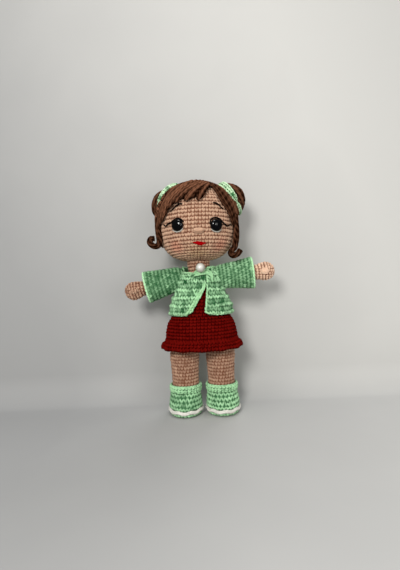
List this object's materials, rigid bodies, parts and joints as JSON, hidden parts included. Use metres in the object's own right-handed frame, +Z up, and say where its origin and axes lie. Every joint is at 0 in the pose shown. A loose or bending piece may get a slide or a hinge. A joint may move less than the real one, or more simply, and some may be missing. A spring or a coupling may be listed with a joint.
{
  "type": "crocheted doll",
  "caption": "Crocheted yarn doll that stands on its boots, with a turning head and swinging arms and legs, in a dress and a buttoned cardigan.",
  "frame": {"origin": "on the floor, below the middle of the doll", "axes": "+Z up along the standing doll, -Y out of its face, +X towards the left side of the doll"},
  "size_m": [0.1504, 0.081, 0.2267],
  "materials": {
    "red_yarn": "single crochet in deep red cotton yarn, soft and matte",
    "skin_yarn": "single crochet in peach cotton yarn, soft and matte",
    "stuffing": "loose polyester fibre",
    "mint_yarn": "crochet in mint green cotton yarn, soft and matte",
    "hair_yarn": "dark brown yarn strands laid side by side",
    "white_yarn": "white cotton yarn",
    "black_thread": "black embroidery thread",
    "red_thread": "red embroidery thread",
    "pearl_plastic": "pearly plastic with a soft shine",
    "eye_plastic": "glossy black plastic",
    "washer_plastic": "plain white plastic"
  },
  "bodies": {
    "torso": {"bodice": "red_yarn", "torso_stuffing": "stuffing", "hips": "skin_yarn", "skirt": "red_yarn", "skirt_ruffle": "red_yarn", "cardigan": "mint_yarn", "cardigan_tab": "mint_yarn", "pearl_button": "pearl_plastic"},
    "neck": {"neck": "skin_yarn"},
    "head": {"head": "skin_yarn", "head_stuffing": "stuffing", "nose": "skin_yarn", "mouth": "red_thread", "hair_cap": "hair_yarn", "fringe": "hair_yarn", "side_sweep": "hair_yarn", "left_eye": "eye_plastic", "left_eye_washer": "washer_plastic", "left_eye_white": "white_yarn", "left_brow": "black_thread", "left_lashes": "black_thread", "left_lock": "hair_yarn", "left_bun": "hair_yarn", "left_bun_band": "mint_yarn", "right_eye": "eye_plastic", "right_eye_washer": "washer_plastic", "right_eye_white": "white_yarn", "right_brow": "black_thread", "right_lashes": "black_thread", "right_lock": "hair_yarn", "right_bun": "hair_yarn", "right_bun_band": "mint_yarn"},
    "left_arm": {"left_arm": "skin_yarn", "left_arm_stuffing": "stuffing", "left_thumb": "skin_yarn", "left_sleeve": "mint_yarn"},
    "right_arm": {"right_arm": "skin_yarn", "right_arm_stuffing": "stuffing", "right_thumb": "skin_yarn", "right_sleeve": "mint_yarn"},
    "left_leg": {"left_leg": "skin_yarn", "left_leg_stuffing": "stuffing", "left_boot": "mint_yarn", "left_boot_cuff": "mint_yarn", "left_boot_welt": "white_yarn", "left_boot_sole": "mint_yarn"},
    "right_leg": {"right_leg": "skin_yarn", "right_leg_stuffing": "stuffing", "right_boot": "mint_yarn", "right_boot_cuff": "mint_yarn", "right_boot_welt": "white_yarn", "right_boot_sole": "mint_yarn"}
  },
  "joints": [
    {"name": "neck_nod", "type": "hinge", "parent": "torso", "child": "neck", "pos_m": [0, 0, 0.1395], "axis": [1, 0, 0], "range_deg": [-10, 10], "stiffness_Nm_per_rad": 0.35},
    {"name": "head_turn", "type": "hinge", "parent": "neck", "child": "head", "pos_m": [0, 0, 0.1395], "axis": [0, 0, 1], "range_deg": [-40, 40], "stiffness_Nm_per_rad": 0.02},
    {"name": "left_shoulder", "type": "hinge", "parent": "torso", "child": "left_arm", "pos_m": [0.0195, 0, 0.1315], "axis": [0, 1, 0], "range_deg": [-26, 41], "stiffness_Nm_per_rad": 0.05, "deforming": ["left_sleeve"]},
    {"name": "right_shoulder", "type": "hinge", "parent": "torso", "child": "right_arm", "pos_m": [-0.0195, 0, 0.1315], "axis": [0, 1, 0], "range_deg": [-24, 43], "stiffness_Nm_per_rad": 0.05, "deforming": ["right_sleeve"]},
    {"name": "left_hip", "type": "hinge", "parent": "torso", "child": "left_leg", "pos_m": [0.0178, 0, 0.057], "axis": [-1, 0, 0], "range_deg": [-25, 45], "stiffness_Nm_per_rad": 0.5},
    {"name": "right_hip", "type": "hinge", "parent": "torso", "child": "right_leg", "pos_m": [-0.0178, 0, 0.057], "axis": [-1, 0, 0], "range_deg": [-25, 45], "stiffness_Nm_per_rad": 0.5}
  ]
}
